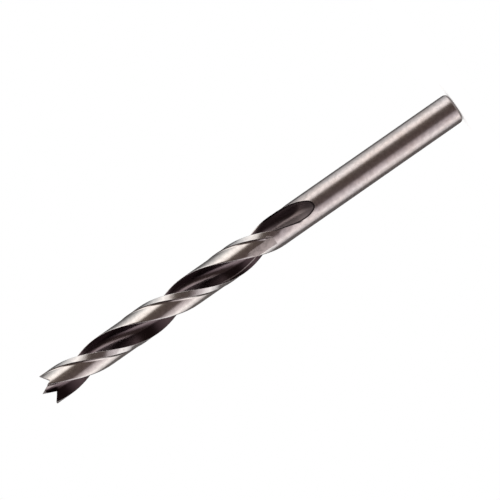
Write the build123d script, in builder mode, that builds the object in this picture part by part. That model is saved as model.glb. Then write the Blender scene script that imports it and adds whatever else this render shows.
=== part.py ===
# Brad point drill bit for wood, 6 mm, in one piece.
# Millimetres. Origin at the centre of the flat shank end, +Z along the axis to the point.
# The flutes run out into the shank between +X and -Y, and between -X and +Y.

import math
import os

from build123d import *

# size of the whole bit
diameter = 6.0
overall_length = 92.0
back_taper = 0.04
end_rounding = 0.95

# point, its depths counted down from the tip
spur_drop = 1.35
valley_drop = 2.47
valley_reach = 1.28
lip_relief = 6.0
grind_skew = 15.0
thinning_angle = 38.0
thinning_reach = 0.95

# twist: two right-hand flutes and the lands between them
lip_direction = 45.1
helix_lead = 38.6
land_angle = 93.0
margin_angle = 24.0
clearance_depth = 0.13
section_spacing = 2.0

# one flute across the axis: rake side, round floor and bulged heel side
lip_offset = 0.45
floor_start = 0.8
floor_radius = 1.2
floor_turn = 105.0

# lengths from the tip at which the twist slows, the flutes lose depth, and they end
twist_full = 52.0
flute_full = 55.5
flute_end = 60.7
slow_turn = 30.0
lift_direction = 50.0

# the same for the clearance of the lands
clearance_full = 46.2
clearance_end = 50.8

radius = diameter / 2
shank_radius = radius - back_taper / 2
ground_radius = radius - clearance_depth
outside = radius + 0.6
shank_length = overall_length - flute_end
spur_height = overall_length - spur_drop
stock_top = overall_length + 1.2
corner_angle = math.degrees(math.asin(lip_offset / radius))
heel_angle = corner_angle + 180 - land_angle
from_below = (Align.CENTER, Align.CENTER, Align.MIN)


def on_circle(r, angle):
    """Point at a radius and an angle in degrees."""
    return r * math.cos(math.radians(angle)), r * math.sin(math.radians(angle))


def turned_plane(z, lift=0):
    """Plane across the axis at height z, turned with the twist and lifted out of the flute."""
    slowed = max(0, overall_length - twist_full - z) / (flute_end - twist_full)
    turn = 360 / helix_lead * (z - spur_height) + slow_turn * slowed
    moved = Vector(lift, 0, 0).rotate(Axis.Z, lift_direction)
    return Plane(Pos(0, 0, z) * Rot(0, 0, turn) * Pos(moved))


def heights(top, bottom):
    """Evenly spaced heights from top to bottom, close enough for a smooth twist."""
    steps = 2 + math.ceil((top - bottom) / section_spacing)
    return [top + (bottom - top) * i / steps for i in range(steps + 1)]


def wheel_lift(z):
    """How far the round wheel that ground the flute has lifted out at height z."""
    run_out = flute_end - flute_full
    full_lift = radius - lip_offset
    wheel_radius = (run_out**2 + full_lift**2) / (2 * full_lift)
    travel = max(0, overall_length - flute_full - z)
    return wheel_radius - math.sqrt(wheel_radius**2 - travel**2)


def flute_outline(z):
    """Flute across the axis, from the leading corner of one land to the heel of the next."""
    heel = on_circle(radius, heel_angle)
    with BuildSketch(turned_plane(z, wheel_lift(z))) as outline:
        with BuildLine():
            rake_side = Line((outside, lip_offset), (floor_start, lip_offset))
            floor = JernArc(rake_side @ 1, rake_side % 1, floor_radius, -floor_turn)
            TangentArc(floor @ 1, heel, tangent=floor % 1)
            opening = Line(heel, on_circle(outside, heel_angle))
            RadiusArc(opening @ 1, rake_side @ 0, outside)
        make_face()
    return outline.sketch


def land_outline(z, inside):
    """Sector of a land behind its margin, from a radius to past the bit and past the heel."""
    margin_end = corner_angle - margin_angle
    past_heel = corner_angle - land_angle - 6
    with BuildSketch(turned_plane(z)) as outline:
        with BuildLine():
            edge = Line(on_circle(inside, margin_end), on_circle(outside, margin_end))
            over = RadiusArc(edge @ 1, on_circle(outside, past_heel), outside)
            back = Line(over @ 1, on_circle(inside, past_heel))
            RadiusArc(back @ 1, edge @ 0, -inside)
        make_face()
    return outline.sketch


# what one flute grind removes: the even twist, then the slower one that runs out
with BuildPart() as flute:
    full_height = overall_length - twist_full
    loft([flute_outline(z) for z in heights(stock_top, full_height)])
    loft([flute_outline(z) for z in heights(full_height, shank_length - 0.5)])

# what is ground off one land behind its margin: round at full depth, then running out
with BuildPart() as clearance:
    full_height = overall_length - clearance_full
    rise = clearance_depth / (clearance_end - clearance_full)
    loft([land_outline(z, radius / 2) for z in heights(stock_top, full_height)])
    Cylinder(ground_radius, stock_top, align=from_below, mode=Mode.SUBTRACT)
    end_heights = heights(full_height, overall_length - clearance_end)
    loft([land_outline(z, ground_radius + rise * (full_height - z)) for z in end_heights])

# what the point grind removes from one wing: a V through the tip and the spur, skewed and
# relieved, and the cut that thins the ridge between both grinds to a sharp point
with BuildPart() as point_grind:
    up = Vector(0, 0, 1)
    tip = Vector(0, 0, overall_length)
    valley = Vector(valley_reach, lip_offset, overall_length - valley_drop)
    spur = Vector(*on_circle(radius, corner_angle), spur_height)
    skewed = Vector(0, -1, 0).rotate(Axis.Z, -grind_skew)
    along = skewed.rotate(Axis((0, 0, 0), skewed.cross(up)), -lip_relief)
    grind = Plane(origin=valley, x_dir=along.cross(up), z_dir=along)
    to_tip = 3 * grind.to_local_coords(tip)
    to_spur = 3 * grind.to_local_coords(spur)
    with BuildSketch(grind):
        Polygon((0, 0), (to_tip.X, to_tip.Y), (to_spur.X, to_spur.Y), align=None)
    extrude(amount=diameter, both=True)

    ridge = (tip - valley).cross(along).cross(up).normalized()
    slope = thinning_reach / math.tan(math.radians(thinning_angle))
    with BuildSketch(Plane(origin=tip, x_dir=ridge, z_dir=ridge.cross(up))):
        Polygon((0, 0), (thinning_reach, slope), (thinning_reach, -slope), align=None)
    extrude(amount=thinning_reach, both=True)

with BuildPart() as drill_bit:
    # shank with a rounded end, and a blank that widens a little from it to the point
    Cylinder(shank_radius, shank_length, align=from_below)
    fillet(drill_bit.faces().sort_by(Axis.Z)[0].edges(), end_rounding)
    with Locations((0, 0, shank_length)):
        Cone(shank_radius, radius, stock_top - shank_length, align=from_below)

    for cutter in (flute, clearance, point_grind):
        for turn in (lip_direction, lip_direction + 180):
            add(cutter.part, rotation=(0, 0, turn), mode=Mode.SUBTRACT)

drill_bit.part.label = "drill_bit"

os.makedirs("parts", exist_ok=True)
export_step(drill_bit.part, "parts/drill_bit.step")
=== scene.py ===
# Brad point drill bit, 6 mm: ground bright on the outside, black in the flutes
import math

import bpy
from mathutils import Matrix, Vector

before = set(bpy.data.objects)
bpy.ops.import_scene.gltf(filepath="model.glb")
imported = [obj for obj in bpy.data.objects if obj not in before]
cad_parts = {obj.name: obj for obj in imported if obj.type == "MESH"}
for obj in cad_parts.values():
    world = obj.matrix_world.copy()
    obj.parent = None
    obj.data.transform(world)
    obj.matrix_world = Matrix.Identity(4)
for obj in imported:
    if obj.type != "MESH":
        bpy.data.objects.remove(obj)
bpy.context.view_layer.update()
bpy.ops.object.select_all(action="DESELECT")
print("frame loaded, the bit stands on its shank end")


# small helpers for materials and their nodes

def newMaterial(name):
    material = bpy.data.materials.new(name)
    material.use_nodes = True
    material.node_tree.nodes.clear()
    return material, material.node_tree


def addNode(tree, kind, **settings):
    node = tree.nodes.new("ShaderNode" + kind)
    for name, value in settings.items():
        setattr(node, name, value)
    return node


def plug(tree, value, socket):
    # a socket takes a number, a colour or another node's output
    if isinstance(value, (int, float)):
        socket.default_value = value
    elif isinstance(value, tuple):
        long = len(socket.default_value)
        socket.default_value = (value + (1.0,))[:long]
    else:
        tree.links.new(value, socket)


def calc(tree, operation, *values):
    node = addNode(tree, "Math", operation=operation)
    for value, socket in zip(values, node.inputs):
        plug(tree, value, socket)
    return node.outputs[0]


def vectorCalc(tree, operation, *values):
    node = addNode(tree, "VectorMath", operation=operation)
    for value, socket in zip(values, node.inputs):
        plug(tree, value, socket)
    return node.outputs["Value" if operation in ("LENGTH", "DOT_PRODUCT") else "Vector"]


def scaled(tree, vector, amount):
    node = addNode(tree, "VectorMath", operation="SCALE")
    plug(tree, vector, node.inputs[0])
    plug(tree, amount, node.inputs["Scale"])
    return node.outputs["Vector"]


def split(tree, vector):
    node = addNode(tree, "SeparateXYZ")
    plug(tree, vector, node.inputs[0])
    return node.outputs


def ease(tree, value, low, high, toMin=0.0, toMax=1.0):
    # a soft step, which falls where low is more than high
    node = addNode(tree, "MapRange", interpolation_type="SMOOTHSTEP")
    for name, given in (("Value", value), ("From Min", low), ("From Max", high),
                        ("To Min", toMin), ("To Max", toMax)):
        plug(tree, given, node.inputs[name])
    return node.outputs["Result"]


def blend(tree, amount, a, b):
    node = addNode(tree, "Mix", data_type="RGBA")
    for value, socket in zip((amount, a, b), (node.inputs[0], node.inputs[6], node.inputs[7])):
        plug(tree, value, socket)
    return node.outputs[2]


def blendValue(tree, amount, a, b):
    node = addNode(tree, "Mix", data_type="FLOAT")
    for value, socket in zip((amount, a, b), (node.inputs[0], node.inputs[2], node.inputs[3])):
        plug(tree, value, socket)
    return node.outputs[0]


def both(tree, *masks):
    result = masks[0]
    for mask in masks[1:]:
        result = calc(tree, "MULTIPLY", result, mask)
    return result


def either(tree, *masks):
    result = masks[0]
    for mask in masks[1:]:
        result = calc(tree, "MAXIMUM", result, mask)
    return result


def without(tree, mask):
    return calc(tree, "SUBTRACT", 1.0, mask)


bit = {
    # the cut shape that the finish follows, in mm and degrees, heights from the shank end
    "lead": 38.6,                # one turn of the flutes
    "spurHeight": 90.65,
    "lipDirection": 45.1,
    "leadingCorner": 8.63,       # from the lip direction to the leading edge
    "twistEnd": 40.0,            # below this the twist slows
    "slowTurn": 30.0,
    "slowLength": 8.7,
    "rakeOffset": 0.45,          # rake face from the axis
    "shankLeast": 2.85,          # no face of the shank lies deeper
    "landLeast": 2.83,           # and none of the lands
    "shankTop": (37.0, 38.5),    # heights between which one takes over from the other

    # colours of the ground steel
    "brightSteel": (0.86, 0.79, 0.785),
    "warmTint": (0.80, 0.70, 0.665),
    "coolTint": (0.82, 0.785, 0.805),
    "tintShare": (0.2, 0.7),     # between two rings, and in them
    "landSteel": (0.99, 0.94, 0.91),
    "landShare": 0.85,
    "marginSteel": (0.93, 0.905, 0.90),
    "patchSteel": (0.91, 0.855, 0.845),
    # painted shadow along the foot of the step behind each margin
    "stepSteel": (0.22, 0.19, 0.19),
    "pointSteel": (0.50, 0.46, 0.455),
    "spotTone": 0.87,            # brightness of a faint spot

    # and of the black finish in the flutes
    "fluteBlack": (0.090, 0.064, 0.074),
    "wornBlack": (0.31, 0.255, 0.27),
    "floorWear": (0.65, 1.0),    # between two streaks, and in them
    "streakWear": 0.35,
    # black finish of the rake face, darkened further as painted shade on the flute's wall
    "rakeBlack": (0.080, 0.056, 0.062),
    # a line rubbed across the rake face, lightened as a painted reflection
    "rubbedSteel": (0.50, 0.45, 0.45),
    "bradBright": (0.52, 0.46, 0.46),
    "bradBlack": (0.030, 0.020, 0.022),
    "runOutBlack": (0.46, 0.39, 0.395),
    "runOutTop": (0.085, 0.066, 0.072),
    "runOutLow": 0.8,            # how far the low end takes the dark tone of the top, as painted shade
    "runOutRim": (0.022, 0.016, 0.018),

    "shankRough": 0.25,
    "landRough": 0.19,
    "marginRough": 0.22,
    "pointRough": 0.30,
    "patchRough": 0.8,
    "fluteRough": 0.30,
    "runOutRough": 0.52,
    "ringRough": 0.03,           # what the grinding lines add to it or take away
    "streakRough": 0.08,

    # relief: leans are slopes of the surface towards its leading edge
    "edgeRadius": 0.00010,       # m, how far sharp edges look rounded
    "hollowLean": -0.36,
    "heelLean": -0.25,
    "landLean": 0.05,
    "lineHeight": 0.0000006,     # m, depth of the grinding lines

    # the dull patch where the clearance ends, by its angle round the bit, and other bounds
    "patchTop": (110.0, 126.0),  # its upper side, and the same at its lower end
    "patchBulge": (42.8, 41.6),
    "patchRoundFrom": 102.0,
    "patchRoundness": 0.0021,
    "patchStart": 42.3,          # above this it draws back from the leading edge
    "patchSlope": 15.0,          # degrees to the millimetre
    "pointSteepness": 0.16,      # the point's grinds face up more, the farther from the axis
    "rubbedSlope": 0.0965,       # how the rubbed line, lightened as a painted reflection, crosses the rake face
    "rubbedStart": -2.48,
    "edgeLead": 6.0,             # the black line starts this much before the leading edge

    # zones of the finish: measures of a place, each from where the zone is off to where it
    # is full
    "zones": {
        "outside": (("overLeast", 0.0, 0.012), ("facesOut", 0.90, 0.95)),
        "shankEnd": (("z", 1.2, 1.0),),
        "twisted": (("z", 40.5, 42.5),),         # above the end of the clearance
        "heelEdge": (("r", 2.74, 2.80), ("behind", 88.0, 89.5), ("behind", 99.0, 96.0)),
        "leadingRim": (("r", 2.955, 2.975),),
        "margin": (("r", 2.915, 2.93),),
        "heelLine": (("behind", 87.0, 89.0), ("behind", 100.0, 96.0)),
        "land": (("behind", 24.0, 26.0), ("z", 42.0, 44.0)),
        "hollow": (("behind", 23.5, 24.0), ("behind", 35.0, 30.0)),      # beside the margin
        "stepLine": (("behind", 23.0, 23.8), ("behind", 29.0, 27.0)),    # painted shadow at the foot of its step
        "heelSlope": (("behind", 85.5, 92.5),),
        "patch": (("side", 74.0, 78.0), ("pastPatchTop", 2.0, -3.0), ("patchEnd", 40.98, 41.1),
                  ("pastPatchStart", 6.0, 16.0), ("z", 47.1, 45.6)),
        "point": (("steepness", 0.11, 0.15), ("z", 88.5, 88.6)),
        "fluteFloor": (("r", 1.5, 0.85), ("z", 90.2, 89.0)),
        "rake": (("rakeSide", 0.0, 0.05), ("fromRake", 0.16, 0.06), ("r", 0.9, 1.2),
                 ("z", 37.0, 41.0)),
        # a rubbed line across the rake face, lightened as a painted reflection
        "rubbed": (("fromRubbed", 0.14, 0.04), ("z", 45.0, 46.5), ("z", 54.0, 51.5)),
        "bradBright": (("z", 89.0, 89.5), ("behind", 108.0, 94.0)),
        "bradBlack": (("z", 88.6, 89.4), ("behind", 118.0, 135.0), ("r", 1.4, 1.1)),
        "runOut": (("z", 44.5, 39.0),),
        "runOutTop": (("behind", 116.0, 88.0),),
        # painted shade at the low end of a run-out
        "runOutLow": (("z", 35.2, 32.2),),
        "runOutRim": (("z", 42.5, 40.5), ("r", 2.55, 2.80)),
        # black line on the shank beside the leading edge of a run-out
        "edgeLine": (("aroundEdge", 9.0, 7.6), ("z", 41.2, 39.6), ("z", 34.6, 35.6)),
    },

    # noises: the place they go by, its stretch, scale, detail, and the levels taken as 0 and 1
    "noises": {
        "fineRings": ("inMm", (0.05, 0.05, 1.0), 9.0, 3.0, 0.3, 0.7),
        "wideRings": ("inMm", (0.05, 0.05, 1.0), 0.75, 2.0, 0.3, 0.7),
        "fineStreaks": ("untwisted", (1.0, 1.0, 0.06), 7.0, 3.0, 0.3, 0.7),
        "wideStreaks": ("untwisted", (1.0, 1.0, 0.06), 1.6, 2.0, 0.3, 0.7),
        "clouds": ("inMm", (1.0, 1.0, 0.45), 0.55, 3.0, 0.3, 0.7),
        "spots": ("inMm", (1.0, 1.0, 1.0), 1.5, 1.5, 0.36, 0.62),
    },
}


def measurePlace(tree):
    # where a point of the surface lies, in mm from the axis and the shank end
    place = addNode(tree, "TexCoord")
    inMm = scaled(tree, place.outputs["Object"], 1000.0)
    x, y, z = split(tree, inMm)
    flat = vectorCalc(tree, "MULTIPLY", inMm, (1.0, 1.0, 0.0))
    r = vectorCalc(tree, "LENGTH", flat)
    outward = vectorCalc(tree, "NORMALIZE", flat)
    facesUp = split(tree, place.outputs["Normal"])[2]
    least = blendValue(tree, ease(tree, z, *bit["shankTop"]), bit["shankLeast"], bit["landLeast"])

    # the same place with the twist taken out, so that a flute runs straight down
    height = calc(tree, "SUBTRACT", z, bit["spurHeight"])
    twist = calc(tree, "MULTIPLY", height, 2 * math.pi / bit["lead"])
    below = calc(tree, "MAXIMUM", calc(tree, "SUBTRACT", bit["twistEnd"], z), 0.0)
    slowed = calc(tree, "MULTIPLY", below, math.radians(bit["slowTurn"]) / bit["slowLength"])
    turn = calc(tree, "ADD", calc(tree, "ADD", twist, slowed), math.radians(bit["lipDirection"]))
    untwist = addNode(tree, "VectorRotate", rotation_type="Z_AXIS")
    plug(tree, inMm, untwist.inputs["Vector"])
    plug(tree, calc(tree, "MULTIPLY", turn, -1.0), untwist.inputs["Angle"])
    untwisted = untwist.outputs[0]
    across, beside = split(tree, untwisted)[:2]

    # degrees behind the leading edge: margin, land, heel at 93, then the flute up to 180
    angle = calc(tree, "DEGREES", calc(tree, "ARCTAN2", beside, across))
    behind = calc(tree, "WRAP", calc(tree, "SUBTRACT", bit["leadingCorner"], angle), 180.0, 0.0)
    aroundEdge = calc(tree, "WRAP", calc(tree, "ADD", behind, bit["edgeLead"]), 180.0, 0.0)

    return {
        "inMm": inMm,
        "z": z,
        "r": r,
        "overLeast": calc(tree, "SUBTRACT", r, least),
        "facesOut": vectorCalc(tree, "DOT_PRODUCT", outward, place.outputs["Normal"]),
        "steepness": calc(tree, "SUBTRACT", facesUp,
                          calc(tree, "MULTIPLY", r, bit["pointSteepness"])),
        "towardsLead": vectorCalc(tree, "CROSS_PRODUCT", (0.0, 0.0, 1.0), outward),
        "untwisted": untwisted,
        "behind": behind,
        "aroundEdge": aroundEdge,
        **measurePatch(tree, x, y, z, behind),
        **measureRake(tree, across, beside, z),
    }


def measurePatch(tree, x, y, z, behind):
    # angle round the bit, the same on both lands, and how it lies to the sides of the patch
    around = calc(tree, "DEGREES", calc(tree, "ARCTAN2", y, x))
    side = calc(tree, "WRAP", around, 180.0, 0.0)
    top = ease(tree, z, *bit["patchBulge"], *bit["patchTop"])
    pastRound = calc(tree, "MAXIMUM", calc(tree, "SUBTRACT", side, bit["patchRoundFrom"]), 0.0)
    roundOff = calc(tree, "MULTIPLY", calc(tree, "POWER", pastRound, 2.0), bit["patchRoundness"])
    aboveStart = calc(tree, "SUBTRACT", z, bit["patchStart"])
    start = calc(tree, "MULTIPLY", aboveStart, bit["patchSlope"])
    return {
        "side": side,
        "pastPatchTop": calc(tree, "SUBTRACT", side, top),
        "patchEnd": calc(tree, "SUBTRACT", z, roundOff),
        "pastPatchStart": calc(tree, "SUBTRACT", behind, start),
    }


def measureRake(tree, across, beside, z):
    # distance from the rake face, and from the rubbed line across it, which is lightened as a
    # painted reflection
    aboveAxis = calc(tree, "SUBTRACT", calc(tree, "ABSOLUTE", beside), bit["rakeOffset"])
    rubAndGlintAt = calc(tree, "MULTIPLY_ADD", z, bit["rubbedSlope"], bit["rubbedStart"])
    fromLine = calc(tree, "SUBTRACT", calc(tree, "ABSOLUTE", across), rubAndGlintAt)
    return {
        "rakeSide": calc(tree, "MULTIPLY", across, beside),
        "fromRake": calc(tree, "ABSOLUTE", aboveAxis),
        "fromRubbed": calc(tree, "ABSOLUTE", fromLine),
    }


def findZones(tree, at):
    zone = {}
    for name, limits in bit["zones"].items():
        steps = [ease(tree, at[measure], off, full) for measure, off, full in limits]
        zone[name] = both(tree, *steps)

    # ground bright: the outside, the shank end, and both edges of the lands
    outside, twisted = zone["outside"], zone["twisted"]
    for name in ("heelEdge", "leadingRim", "land"):
        zone[name] = both(tree, zone[name], twisted)
    ground = either(tree, outside, zone["shankEnd"], zone["heelEdge"], zone["leadingRim"])
    zone["ground"] = ground
    for name in ("margin", "heelLine"):
        zone[name] = both(tree, zone[name], ground, twisted)

    # behind the margins: a painted shadow at the step, a hollow, and a land that falls to its
    # heel
    for name in ("hollow", "stepLine", "heelSlope"):
        zone[name] = both(tree, zone[name], outside, twisted)
    zone["patch"] = both(tree, zone["patch"], outside)
    zone["hollow"] = both(tree, zone["hollow"], without(tree, zone["patch"]))
    zone["flatLand"] = both(tree, outside, zone["land"], without(tree, zone["hollow"]))

    # black: the flutes and their run-outs, with a black line on the shank beside them
    zone["flute"] = both(tree, twisted, without(tree, outside))
    zone["point"] = both(tree, zone["point"], without(tree, outside))
    # the rubbed line lies on the rake face; its light tone is partly a painted reflection
    zone["rubbed"] = both(tree, zone["rubbed"], zone["rake"])
    # the low end of a run-out darkens to the top's tone as painted shade
    low = calc(tree, "MULTIPLY", zone["runOutLow"], bit["runOutLow"])
    zone["runOutTop"] = either(tree, zone["runOutTop"], low)
    zone["edgeLine"] = both(tree, zone["edgeLine"], outside)
    return zone


def makeNoises(tree, at):
    # lines of the grinding, rings round the shank and streaks along the flutes, and stains
    noise = {}
    for name, (place, stretch, scale, detail, low, high) in bit["noises"].items():
        node = addNode(tree, "TexNoise", noise_dimensions="3D")
        plug(tree, vectorCalc(tree, "MULTIPLY", at[place], stretch), node.inputs["Vector"])
        node.inputs["Scale"].default_value = scale
        node.inputs["Detail"].default_value = detail
        noise[name] = ease(tree, node.outputs["Fac"], low, high)
    return noise


def steelColor(tree, zone, noise):
    tinted = blend(tree, noise["clouds"], bit["warmTint"], bit["coolTint"])
    tintShare = blendValue(tree, noise["wideRings"], *bit["tintShare"])
    bright = blend(tree, tintShare, bit["brightSteel"], tinted)
    landShare = calc(tree, "MULTIPLY", zone["land"], bit["landShare"])
    bright = blend(tree, landShare, bright, bit["landSteel"])
    # the step line's dark colour is a painted shadow
    for name, color in (("margin", "marginSteel"), ("heelLine", "marginSteel"),
                        ("patch", "patchSteel"), ("stepLine", "stepSteel"),
                        ("edgeLine", "runOutRim")):
        bright = blend(tree, zone[name], bright, bit[color])
    bright = scaled(tree, bright, blendValue(tree, noise["spots"], bit["spotTone"], 1.0))

    floorWear = blendValue(tree, noise["fineStreaks"], *bit["floorWear"])
    streaks = both(tree, noise["fineStreaks"], noise["wideStreaks"])
    worn = either(tree, both(tree, floorWear, zone["fluteFloor"]),
                  calc(tree, "MULTIPLY", streaks, bit["streakWear"]))
    dark = blend(tree, worn, bit["fluteBlack"], bit["wornBlack"])
    # the rake face's black is partly painted shade
    # the rubbed line's light tone is partly a painted reflection
    for name, color in (("rake", "rakeBlack"), ("rubbed", "rubbedSteel"),
                        ("bradBright", "bradBright"), ("bradBlack", "bradBlack")):
        dark = blend(tree, zone[name], dark, bit[color])
    leaf = blend(tree, zone["runOutTop"], bit["runOutBlack"], bit["runOutTop"])
    dark = blend(tree, zone["runOut"], dark, leaf)
    dark = blend(tree, zone["runOutRim"], dark, bit["runOutRim"])

    color = blend(tree, zone["ground"], dark, bright)
    return blend(tree, zone["point"], color, bit["pointSteel"])


def steelRoughness(tree, zone, noise):
    rings = calc(tree, "SUBTRACT", noise["fineRings"], 0.5)
    bright = calc(tree, "MULTIPLY_ADD", rings, bit["ringRough"], bit["shankRough"])
    for name in ("land", "margin", "patch"):
        bright = blendValue(tree, zone[name], bright, bit[name + "Rough"])
    streaks = calc(tree, "SUBTRACT", noise["fineStreaks"], 0.5)
    dark = calc(tree, "MULTIPLY_ADD", streaks, bit["streakRough"], bit["fluteRough"])
    dull = either(tree, zone["runOut"], zone["rubbed"])
    dark = blendValue(tree, dull, dark, bit["runOutRough"])
    rough = blendValue(tree, zone["ground"], dark, bright)
    return blendValue(tree, zone["point"], rough, bit["pointRough"])


def steelRelief(tree, at, zone, noise):
    # edges look a little rounded, the ground faces lean, and the grinding leaves fine lines
    rounded = addNode(tree, "Bevel", samples=6)
    rounded.inputs["Radius"].default_value = bit["edgeRadius"]
    lean = calc(tree, "MULTIPLY", zone["hollow"], bit["hollowLean"])
    lean = calc(tree, "MULTIPLY_ADD", zone["heelSlope"], bit["heelLean"], lean)
    lean = calc(tree, "MULTIPLY_ADD", zone["flatLand"], bit["landLean"], lean)
    leaning = vectorCalc(tree, "ADD", rounded.outputs[0], scaled(tree, at["towardsLead"], lean))
    lines = blendValue(tree, zone["flute"], noise["fineRings"], noise["fineStreaks"])
    bump = addNode(tree, "Bump")
    bump.inputs["Strength"].default_value = 1.0
    bump.inputs["Distance"].default_value = bit["lineHeight"]
    plug(tree, lines, bump.inputs["Height"])
    plug(tree, vectorCalc(tree, "NORMALIZE", leaning), bump.inputs["Normal"])
    return bump.outputs[0]


def makeSteel():
    steel, tree = newMaterial("groundAndBlackSteel")
    out = addNode(tree, "OutputMaterial")
    shader = addNode(tree, "BsdfPrincipled")
    tree.links.new(shader.outputs[0], out.inputs[0])
    shader.inputs["Metallic"].default_value = 1.0
    at = measurePlace(tree)
    zone = findZones(tree, at)
    noise = makeNoises(tree, at)
    plug(tree, steelColor(tree, zone, noise), shader.inputs["Base Color"])
    plug(tree, steelRoughness(tree, zone, noise), shader.inputs["Roughness"])
    plug(tree, steelRelief(tree, at, zone, noise), shader.inputs["Normal"])
    return steel


steel = makeSteel()
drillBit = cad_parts["drill_bit"]
for slot in drillBit.material_slots:
    slot.material = steel
print("steel on the bit")


shot = {
    "azimuth": 26.0,         # degrees, as the picture sees the bit
    "lens": 200.0,
    "sensor": 36.0,
    "pictureWidth": 500,     # pixels
    "scale": 5.467,          # pixels to the millimetre
    "lookAtHeight": 0.0458,
    "sideways": -0.00007,    # the axis lies this much off the picture's centre
    "axisAngle": 34.87,      # of the bit across the picture
    "clip": (0.01, 20),
}


def pictureSides():
    # level directions from the bit to the camera and to its right side
    a = math.radians(shot["azimuth"])
    return Vector((math.sin(a), -math.cos(a), 0)), Vector((math.cos(a), math.sin(a), 0))


def makeCamera():
    bpy.ops.object.camera_add()
    camera = bpy.context.object
    camera.name = "camera"
    camera.data.lens = shot["lens"]
    camera.data.sensor_width = shot["sensor"]
    camera.data.clip_start, camera.data.clip_end = shot["clip"]
    back, right = pictureSides()
    up = Vector((0, 0, 1))
    lean = math.radians(shot["axisAngle"])
    imageRight = -math.sin(lean) * right - math.cos(lean) * up
    imageUp = math.cos(lean) * right - math.sin(lean) * up
    width = shot["pictureWidth"] / shot["scale"] / 1000
    distance = width * shot["lens"] / shot["sensor"]
    target = up * shot["lookAtHeight"] + right * shot["sideways"]
    m = Matrix((imageRight, imageUp, back)).transposed().to_4x4()
    m.translation = target + back * distance
    camera.matrix_world = m
    bpy.context.scene.camera = camera


tent = {
    "radius": 0.45,
    "middle": (0, 0, 0.046),
    "segments": 96,
    "fromBelow": (0.29, 0.27, 0.265),
    "belowTilt": (-0.56, -0.68),
    "fromAbove": (0.38, 0.36, 0.355),
    "aboveTilt": (0.50, 0.64),
    "underneath": 0.12,      # how much light comes to what faces the floor
    "underTilt": (-0.84, -0.94),
    "underRay": (0.45, 0.58),
    # light by the angle from the camera, positive on the upper left side of the picture
    "bands": (
        (-179, (0.14, 0.13, 0.13)),
        (-109, (0.11, 0.10, 0.095)),
        (-101, (0.54, 0.52, 0.52)),
        (-74, (1.09, 1.05, 1.03)),
        (-56, (0.74, 0.68, 0.685)),
        (-30, (0.39, 0.345, 0.35)),
        (-20, (0.09, 0.067, 0.063)),
        (20, (0.085, 0.066, 0.058)),
        (38, (0.12, 0.095, 0.08)),
        (54, (1.0, 0.945, 0.90)),
        (74, (1.16, 1.12, 1.08)),
        (100, (0.64, 0.64, 0.63)),
        (122, (0.32, 0.32, 0.32)),
        (136, (0.16, 0.16, 0.16)),
        (150, (0.10, 0.10, 0.10)),
        (179, (0.10, 0.095, 0.095)),
    ),
}


def bandRamp(tree, share):
    ramp = addNode(tree, "ValToRGB")
    plug(tree, share, ramp.inputs[0])
    stops = ramp.color_ramp.elements
    for degrees, color in tent["bands"]:
        stop = stops.new((degrees + 180) / 360)
        stop.color = color + (1.0,)
    stops.remove(stops[0])
    stops.remove(stops[-1])
    return ramp.outputs[0]


def makeTentCloth():
    material, tree = newMaterial("tentCloth")
    out = addNode(tree, "OutputMaterial")
    glow = addNode(tree, "Emission")
    tree.links.new(glow.outputs[0], out.inputs[0])
    place = addNode(tree, "TexCoord")
    ray = vectorCalc(tree, "NORMALIZE", place.outputs["Object"])
    back, right = (tuple(side) for side in pictureSides())
    # the tone goes by the way that a surface faces when it mirrors this place to the camera
    faces = vectorCalc(tree, "NORMALIZE", vectorCalc(tree, "ADD", ray, back))
    facing = calc(tree, "ARCTAN2", vectorCalc(tree, "DOT_PRODUCT", faces, right),
                  vectorCalc(tree, "DOT_PRODUCT", faces, back))
    tilt = vectorCalc(tree, "DOT_PRODUCT", faces, (0.0, 0.0, 1.0))
    down = vectorCalc(tree, "DOT_PRODUCT", ray, (0.0, 0.0, -1.0))
    tone = bandRamp(tree, calc(tree, "ADD", calc(tree, "DIVIDE", facing, math.pi), 0.5))
    tone = blend(tree, ease(tree, tilt, *tent["belowTilt"]), tone, tent["fromBelow"])
    tone = blend(tree, ease(tree, tilt, *tent["aboveTilt"]), tone, tent["fromAbove"])
    under = both(tree, ease(tree, tilt, *tent["underTilt"]), ease(tree, down, *tent["underRay"]))
    lit = blendValue(tree, under, 1.0, tent["underneath"])
    plug(tree, scaled(tree, tone, lit), glow.inputs[0])
    return material


def makeTent():
    # a round light tent, bright and dark in bands, which the camera doesn't see
    bpy.ops.mesh.primitive_uv_sphere_add(segments=tent["segments"], location=tent["middle"],
                                         ring_count=tent["segments"] // 2, radius=tent["radius"])
    cloth = bpy.context.object
    cloth.name = "lightTent"
    bpy.ops.object.shade_smooth()
    cloth.visible_camera = False
    cloth.data.materials.append(makeTentCloth())


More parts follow.
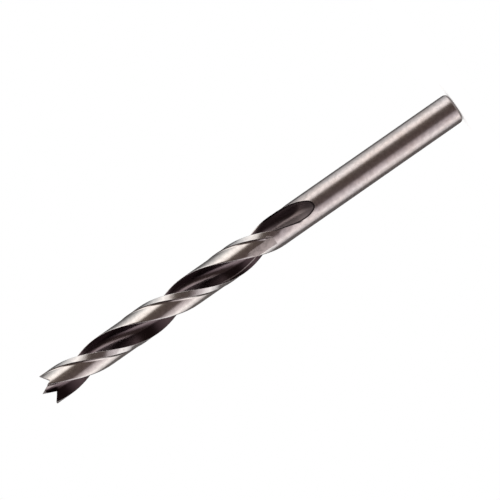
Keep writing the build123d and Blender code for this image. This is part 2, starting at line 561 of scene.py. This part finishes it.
paper = {
    "radius": 1.5,
    "corners": 128,
    "tone": (0.93, 0.93, 0.93),
    "ownLight": (0.5, 1.0),      # share of plain white at the bit, and away from it
    "shadowReach": (0.004, 0.03),
}


def makePaper():
    pale, tree = newMaterial("paleFloor")
    out = addNode(tree, "OutputMaterial")
    matt = addNode(tree, "BsdfDiffuse")
    plug(tree, paper["tone"], matt.inputs[0])
    glow = addNode(tree, "Emission")
    mixed = addNode(tree, "MixShader")
    place = addNode(tree, "TexCoord")
    away = vectorCalc(tree, "LENGTH", place.outputs["Object"])
    plug(tree, ease(tree, away, *paper["shadowReach"], *paper["ownLight"]), mixed.inputs[0])
    tree.links.new(matt.outputs[0], mixed.inputs[1])
    tree.links.new(glow.outputs[0], mixed.inputs[2])
    # seen from below, the floor lets the bit show through
    side = addNode(tree, "NewGeometry")
    clear = addNode(tree, "BsdfTransparent")
    oneSided = addNode(tree, "MixShader")
    plug(tree, side.outputs["Backfacing"], oneSided.inputs[0])
    tree.links.new(mixed.outputs[0], oneSided.inputs[1])
    tree.links.new(clear.outputs[0], oneSided.inputs[2])
    tree.links.new(oneSided.outputs[0], out.inputs[0])
    return pale


def makeFloor():
    bpy.ops.mesh.primitive_circle_add(vertices=paper["corners"], radius=paper["radius"],
                                      fill_type="NGON")
    floor = bpy.context.object
    floor.name = "floor"
    floor.data.materials.append(makePaper())
    floor.visible_glossy = False


topLamp = {
    "height": 0.4,
    "size": 0.25,
    "watts": 1.6,
}


def makeTopLamp():
    bpy.ops.object.light_add(type="AREA", location=(0, 0, topLamp["height"]))
    lamp = bpy.context.object
    lamp.name = "topLamp"
    lamp.data.shape = "DISK"
    lamp.data.size = topLamp["size"]
    lamp.data.energy = topLamp["watts"]
    lamp.visible_glossy = False


def makeWorld():
    world = bpy.data.worlds.new("studio")
    bpy.context.scene.world = world
    world.use_nodes = True
    back = world.node_tree.nodes["Background"]
    back.inputs[0].default_value = (1, 1, 1, 1)
    back.inputs[1].default_value = 1.0
    bpy.context.scene.view_settings.view_transform = "Standard"


makeCamera()
makeTent()
makeTopLamp()
makeFloor()
makeWorld()
print("studio ready")
